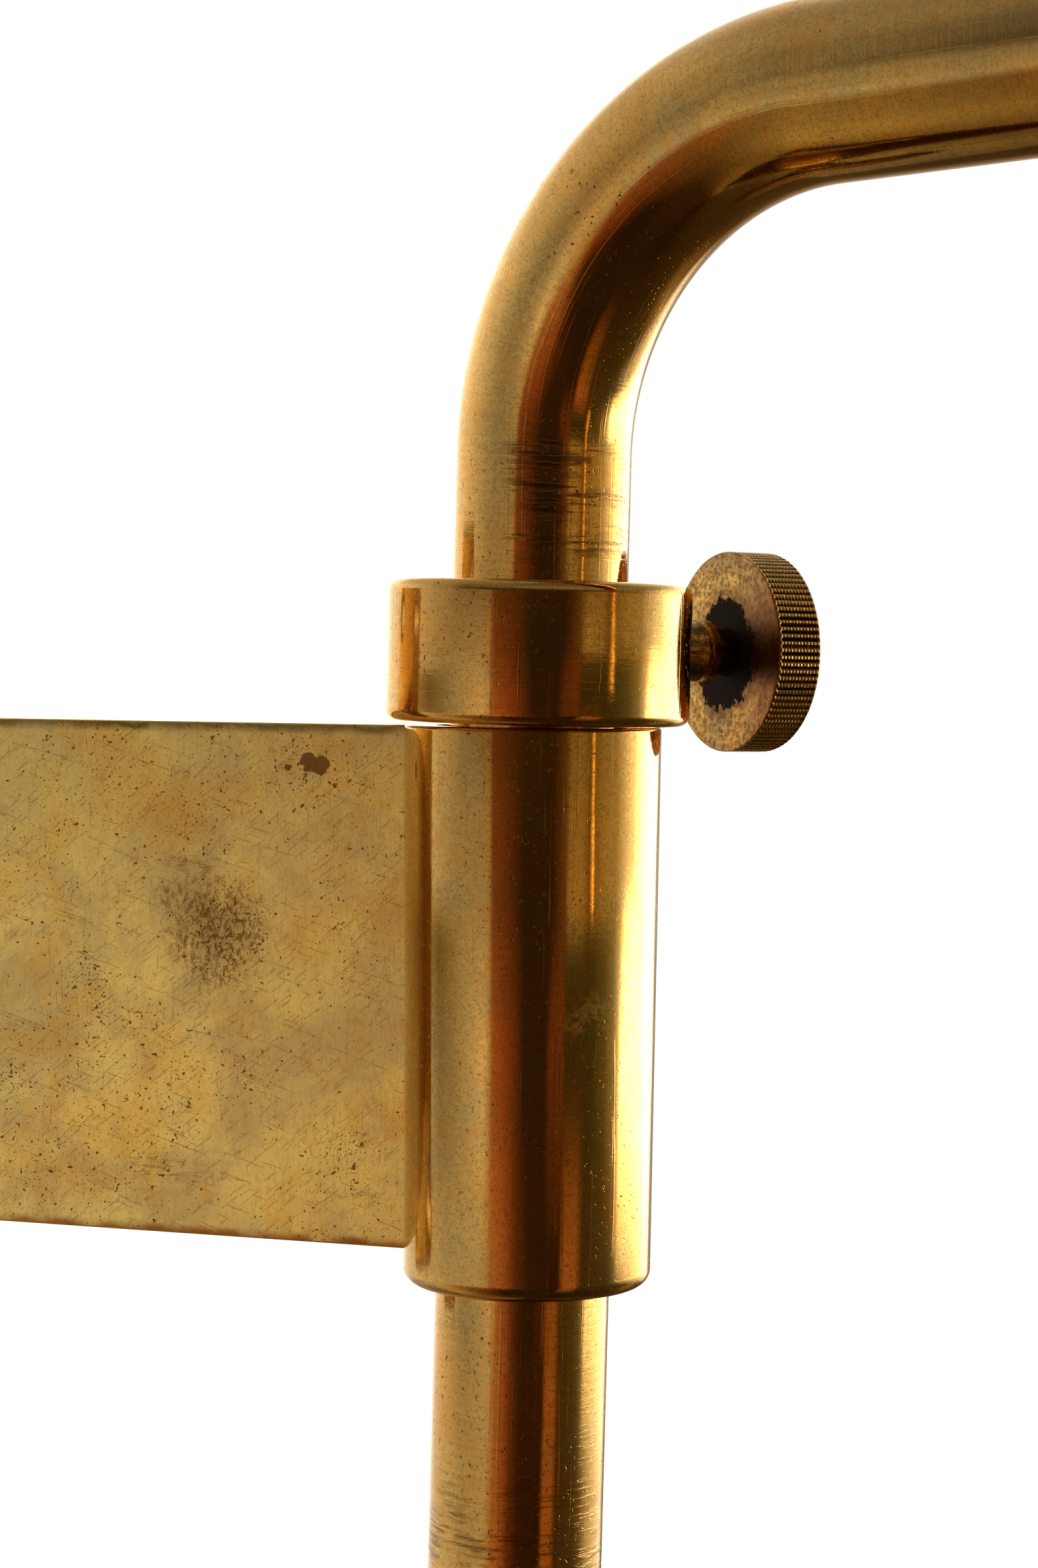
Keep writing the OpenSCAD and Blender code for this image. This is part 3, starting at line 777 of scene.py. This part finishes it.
def make_bar(material):
    """The flat bar with softly worn edges and small nicks, coped to the barrel."""
    low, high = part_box("flat_bar")
    top, bottom, side = high.z / MM, low.z / MM, high.y / MM
    edge, deepest_nick, braze_gap = 0.16, 0.1, 0.03
    outline = []
    for sy, sz, start in ((-1, -1, 180), (1, -1, 270), (1, 1, 0), (-1, 1, 90)):
        corner = (top if sz > 0 else bottom) - sz * edge
        outline += arc(sy * (side - edge), corner, edge, start, start + 90, 5)
    loop = []
    for i, (y, z) in enumerate(outline):
        y2, z2 = outline[(i + 1) % len(outline)]
        steps = max(1, round(math.dist((y, z), (y2, z2)) / 0.9))
        loop += line((y, z), (y2, z2), steps)
    columns = 90
    rings = []
    for i in range(columns + 1):
        t = i / columns
        ring = []
        for y, z in loop:
            height = (z - barrel_mid.z / MM) / BARREL_L + 0.5
            r = BARREL_BOTTOM_R + (BARREL_TOP_R - BARREL_BOTTOM_R) * height - braze_gap
            end = barrel_mid.x / MM - math.sqrt(r * r - y * y)
            x = PLATE_T + (end - PLATE_T) * t
            at = Vector((x, y, z))
            on_edge = abs(y) > side - edge and (z > top - edge or z < bottom + edge)
            if on_edge and 0 < i < columns:
                nick = max(0.0, noise.noise(at * 0.9) - 0.5) * 0.4 + 0.03 * abs(noise.noise(at * 2.2))
                inward = Vector((0, -math.copysign(1, y), -math.copysign(1, z)))
                at += inward * min(nick, deepest_nick)
            ring.append(tuple(at))
        rings.append(ring)
    mesh = shade(grid_mesh("flat_bar_worn", rings, close_ends=True), 40)
    new_piece("flat_bar_worn", mesh, Matrix.Identity(4), "bracket", material, "flat_bar")


# ---------------------------------------------------------------- studio


def make_floor():
    """A plain pale floor, in metres, a little below the part and unseen by its reflections."""
    floor_z = cad_box[0].z - 0.12
    size = 3.0
    corners = [(-size, -size, floor_z), (size, -size, floor_z), (size, size, floor_z),
               (-size, size, floor_z)]
    mesh = bpy.data.meshes.new("floor")
    mesh.from_pydata(corners, [], [(0, 1, 2, 3)])
    n = Nodes("pale_floor")
    at = n.add("ShaderNodeTexCoord", out=3)
    shade_of = n.noise(at, 4.0, 2.0)
    n.feed(n.shader.inputs["Base Color"], n.mix(shade_of, rgb(0.86, 0.86, 0.85), rgb(0.9, 0.9, 0.89)))
    n.shader.inputs["Roughness"].default_value = 0.9
    n.shader.inputs["Emission Color"].default_value = rgb(1, 1, 1)
    n.shader.inputs["Emission Strength"].default_value = 0.75
    mesh.materials.append(n.material)
    floor = bpy.data.objects.new("floor", mesh)
    bpy.context.scene.collection.objects.link(floor)
    floor.visible_glossy = False


# The studio as the metal sees it: for each elevation, the light all round, at angles that count
# from the side the camera stands on, towards its right. One number is a neutral light.
STUDIO = (
    (-72, ((-180, (0.06, 0.04, 0.015)), (-120, (0.2, 0.13, 0.05)), (-80, (0.16, 0.1, 0.04)),
           (-40, (0.04, 0.02, 0.006)), (60, (0.02, 0.01, 0.003)), (180, (0.06, 0.04, 0.015)))),
    (-50, ((-180, (0.14, 0.1, 0.05)), (-160, (0.32, 0.26, 0.14)), (-140, (0.13, 0.09, 0.035)),
           (-120, (0.22, 0.16, 0.07)), (-98, (0.48, 0.38, 0.18)), (-78, (0.32, 0.25, 0.12)),
           (-60, (0.15, 0.09, 0.03)), (-36, (0.08, 0.03, 0.01)), (-26, (0.02, 0.01, 0.004)),
           (60, (0.03, 0.02, 0.008)), (140, (0.05, 0.03, 0.01)), (180, (0.06, 0.04, 0.02)))),
    (-26, ((-180, 0.2), (-150, 0.36), (-120, 0.48), (-100, 0.52), (-80, (0.4, 0.33, 0.19)),
           (-66, (0.24, 0.17, 0.08)), (-58, (0.26, 0.12, 0.045)), (-36, (0.2, 0.06, 0.02)),
           (-26, (0.05, 0.02, 0.007)), (-10, (0.03, 0.014, 0.005)), (28, (0.02, 0.012, 0.004)),
           (34, (0.22, 0.08, 0.02)), (44, (0.2, 0.08, 0.02)), (52, (0.05, 0.03, 0.01)),
           (80, (0.05, 0.035, 0.012)), (110, (0.08, 0.06, 0.02)), (130, (0.34, 0.25, 0.11)),
           (150, (0.1, 0.06, 0.02)), (180, (0.07, 0.05, 0.02)))),
    (-16, ((-180, 1.3), (-160, 1.0), (-140, 0.8), (-100, 0.62), (-76, 0.46), (-45, 0.46),
           (-38, (0.44, 0.34, 0.22)), (-33, (0.4, 0.2, 0.1)), (-22, (0.32, 0.12, 0.05)),
           (-12, (0.12, 0.04, 0.015)), (0, (0.04, 0.018, 0.006)), (30, (0.025, 0.012, 0.005)),
           (34, (0.34, 0.12, 0.035)), (45, (0.32, 0.13, 0.04)), (52, (0.06, 0.035, 0.012)),
           (80, (0.07, 0.055, 0.025)), (93, (0.14, 0.11, 0.06)), (108, 0.55), (126, 1.0), (148, 1.6),
           (158, (0.3, 0.2, 0.1)), (180, (0.2, 0.14, 0.07)))),
    (-7, ((-180, 2.0), (-160, 1.4), (-140, 0.95), (-110, 0.56), (-88, 0.24), (-74, 0.3), (-60, 0.42),
          (-42, (0.7, 0.63, 0.54)), (-36, (0.46, 0.36, 0.22)), (-34.5, (0.36, 0.14, 0.055)),
          (-22, (0.24, 0.07, 0.028)), (-12, (0.12, 0.04, 0.015)), (-5, (0.03, 0.016, 0.005)),
          (15, (0.028, 0.016, 0.005)),
          (19, (0.12, 0.038, 0.012)), (29, (0.13, 0.046, 0.014)), (33, (0.04, 0.028, 0.008)),
          (58, (0.05, 0.042, 0.012)), (72, (0.12, 0.1, 0.04)), (82, (0.3, 0.27, 0.16)), (88, 0.9),
          (93, 4.6), (142, 6.0), (152, 1.6), (157, 0.35), (180, 0.4))),
    (-2.4, ((-180, 2.1), (-160, 1.6), (-146, 1.15), (-118, 0.8), (-102, (0.34, 0.28, 0.15)),
            (-90, (0.15, 0.12, 0.045)), (-76, (0.25, 0.23, 0.13)), (-62, 0.38),
            (-43, (0.48, 0.44, 0.38)), (-36.5, (0.42, 0.33, 0.21)), (-34.8, (0.26, 0.1, 0.04)),
            (-21, (0.16, 0.05, 0.02)), (-11.5, (0.075, 0.03, 0.01)), (-5.5, (0.029, 0.016, 0.005)),
            (17, (0.028, 0.016, 0.005)), (21, (0.1, 0.035, 0.011)), (30, (0.13, 0.05, 0.016)),
            (35, (0.06, 0.045, 0.015)), (58, (0.055, 0.043, 0.012)), (72, (0.13, 0.105, 0.04)),
            (82, (0.32, 0.28, 0.17)), (89, 0.9), (96, 3.8), (142, 6.0), (152, 1.7), (157, 0.37),
            (180, 0.45))),
    (-0.4, ((-180, 2.2), (-160, 1.8), (-147, 1.2), (-120, 0.9), (-96, 0.58), (-82, 0.43),
            (-70, 0.36), (-44, (0.36, 0.34, 0.3)), (-37, (0.4, 0.31, 0.2)),
            (-35, (0.2, 0.075, 0.03)), (-20, (0.12, 0.04, 0.014)), (-11, (0.05, 0.024, 0.007)),
            (-6, (0.028, 0.016, 0.005)), (19, (0.028, 0.016, 0.005)), (24, (0.07, 0.028, 0.009)),
            (31, (0.14, 0.07, 0.02)), (36, (0.34, 0.25, 0.1)), (47, (0.32, 0.23, 0.09)),
            (54, (0.16, 0.09, 0.02)), (67, (0.34, 0.25, 0.1)), (82, (0.4, 0.34, 0.2)), (92, 0.8),
            (104, 1.6), (118, 5.0), (142, 6.0), (153, 2.0), (158, 0.4), (180, 0.5))),
    (14, ((-180, 2.2), (-138, 1.3), (-118, 0.9), (-98, 0.66), (-82, 0.44), (-70, 0.3), (-65, 0.12),
          (-40, (0.06, 0.04, 0.016)), (20, (0.035, 0.02, 0.008)), (40, (0.1, 0.06, 0.022)),
          (80, (0.2, 0.14, 0.06)), (100, 0.8), (120, 2.4), (180, 2.2))),
    (36, ((-180, 0.85), (-150, 0.62), (-120, 0.56), (-96, 0.44), (-80, 0.3), (-68, 0.16), (-40, 0.18),
          (45, 0.22), (90, 0.22), (120, 0.4), (150, 0.8), (180, 0.85))),
    (70, ((-180, 0.3), (-90, 0.26), (0, 0.12), (90, 0.1), (180, 0.3))))


def make_world():
    """A soft studio with a white background, white light behind and to the right, a dimmer white
    at the left, and a dark room where the camera stands."""
    world = bpy.data.worlds.new("studio")
    bpy.context.scene.world = world
    world.use_nodes = True
    n = Nodes.over(world.node_tree)
    for node in list(n.tree.nodes):
        n.tree.nodes.remove(node)

    right = (math.cos(CAMERA_AZIMUTH), math.sin(CAMERA_AZIMUTH), 0)
    toward = (math.sin(CAMERA_AZIMUTH), -math.cos(CAMERA_AZIMUTH), 0)
    way = n.add("ShaderNodeTexCoord")
    across = n.add("ShaderNodeVectorMath", {0: way, 1: right}, out=1, operation="DOT_PRODUCT")
    front = n.add("ShaderNodeVectorMath", {0: way, 1: toward}, out=1, operation="DOT_PRODUCT")
    share = n.math("ADD", n.math("DIVIDE", n.math("ARCTAN2", across, front), 2 * math.pi), 0.5)
    height = n.add("ShaderNodeSeparateXYZ", {0: way}, out=2)

    strongest = 6.0
    light = None
    below = None
    for elevation, stops in STUDIO:
        ramp = n.tree.nodes.new("ShaderNodeValToRGB")
        marks = ramp.color_ramp.elements
        marks[0].position, marks[1].position = 0.0, 1.0
        for degrees, value in stops:
            if abs(degrees) == 180:
                mark = marks[0] if degrees < 0 else marks[-1]
            else:
                mark = marks.new(degrees / 360 + 0.5)
            value = value if isinstance(value, tuple) else (value, value * 0.97, value * 0.9)
            mark.color = rgb(*[c / strongest for c in value])
        n.tree.links.new(share, ramp.inputs[0])
        sine = math.sin(math.radians(elevation))
        if light is None:
            light = ramp.outputs[0]
        else:
            light = n.mix(n.step(height, below, sine), light, ramp.outputs[0])
        below = sine

    lit = n.add("ShaderNodeBackground", {"Color": light, "Strength": strongest})
    seen = n.add("ShaderNodeBackground", {"Color": rgb(1, 1, 1), "Strength": 1.0})
    both = n.add("ShaderNodeMixShader", {0: n.add("ShaderNodeLightPath"), 1: lit, 2: seen})
    output = n.tree.nodes.new("ShaderNodeOutputWorld")
    n.tree.links.new(both, output.inputs[0])


def make_camera():
    """The camera looks at the barrel's top from a little above it, as a long lens would."""
    data = bpy.data.cameras.new("camera")
    data.lens = CAMERA_LENS
    data.sensor_width = CAMERA_SENSOR
    data.clip_start = 0.01
    camera = bpy.data.objects.new("camera", data)
    bpy.context.scene.collection.objects.link(camera)
    a, p = CAMERA_AZIMUTH, CAMERA_PITCH
    ahead = Vector((-math.sin(a) * math.cos(p), math.cos(a) * math.cos(p), -math.sin(p)))
    right = Vector((math.cos(a), math.sin(a), 0))
    up = right.cross(ahead)
    right, up = (right * math.cos(CAMERA_ROLL) + up * math.sin(CAMERA_ROLL),
                 up * math.cos(CAMERA_ROLL) - right * math.sin(CAMERA_ROLL))
    target = Vector((barrel_mid.x, barrel_mid.y, barrel_high.z))
    place = target - (right * CAMERA_LEFT + up * CAMERA_LOW + ahead * CAMERA_AWAY) * MM
    m = Matrix((right, up, -ahead)).transposed().to_4x4()
    m.translation = place
    camera.matrix_world = m
    bpy.context.scene.camera = camera


def main():
    barrel_brass = polished_brass("barrel_brass", tarnish=0.75,
                                  smears=((8.8, -8.1, 0.5, 2.6), (7.2, -9.4, -0.8, 1.6)))
    tube_brass = polished_brass("tube_brass", "straight", tarnish=0.7, rings=0.1, dark_end=(98, 128),
                                scuffs=((COLLAR_HIGH + 1, COLLAR_HIGH + 14, 0.5, 1.0),
                                        (-BARREL_L / 2 - 60, -BARREL_L / 2 - 14, -TUBE_R - 3, 0.9)))
    collar_brass = polished_brass("collar_brass", tarnish=0.75, rings=0.1)
    fitting_brass = polished_brass("fitting_brass", tarnish=0.8, rough=0.14)
    bar_brass = satin_brass(
        "bar_brass", blots=((80.0, 20.5, 0.7), (81.3, 20.1, 0.8), (82.7, 18.3, 0.3), (78.2, 19.8, 0.25)),
        stains=((71.3, 4.4, 6.0, 0.8, 0.85), (67.8, 6.4, 4.5, 0.8, 0.5),
                (68.6, 10.6, 4.0, 2.5, 0.35), (65.8, -18.0, 5.0, 2.8, 0.35)),
        specked=((79, 19.9, 5.5), (57.5, -0.3, 5.0), (50, -10.6, 5.0), (72, 4.4, 8.0), (84, -15.6, 5.0)),
        glows=((66, 14.9, 5.0), (88, 6.4, 4.5), (80, 4.4, 4.0), (60, -14.6, 5.0), (90, -11.6, 4.0)))
    plate_brass = satin_brass("plate_brass", rough=(0.34, 0.48))
    # The umber and brown patches on the head darken the +Y side of its face: painted shade.
    head_brass = turned_brass(
        "head_brass", dirt=0.45, residue=(5.3, 4.8), groove_floor=HEAD_R - 0.24,
        patches=((7.6, -0.9, 4.5, MOSS, 0.85), (4.5, -5.2, 5.5, ORANGE, 0.8),
                 (5.7, 0.5, 3.5, ORANGE, 0.7), (0.8, 6.8, 8.0, UMBER, 0.85),
                 (-3.7, -6.3, 4.5, ORANGE, 0.6), (-3.6, 4.1, 3.5, ORANGE, 0.6),
                 (-5.2, 6.2, 5.0, BROWN, 0.6)))
    stem_brass = turned_brass("stem_brass", dirt=0.25, rough=(0.1, 0.2))
    steel = plain_steel("screw_steel")

    make_barrel(barrel_brass)
    make_collar(collar_brass)
    make_tube(tube_brass)
    make_foot(fitting_brass)
    make_socket(fitting_brass)
    make_stem(stem_brass)
    make_head(head_brass)
    make_bar(bar_brass)

    for node, material in (("wall_plate", plate_brass), ("bar_screws", steel), ("foot_screw", steel),
                           ("socket_screw", steel), ("tip_pad", stem_brass)):
        mesh = frame["nodes"][node].data
        for slot in range(max(1, len(mesh.materials))):
            if slot < len(mesh.materials):
                mesh.materials[slot] = material
            else:
                mesh.materials.append(material)

    make_floor()
    make_world()
    make_camera()
    bpy.context.scene.view_settings.view_transform = "Standard"


main()
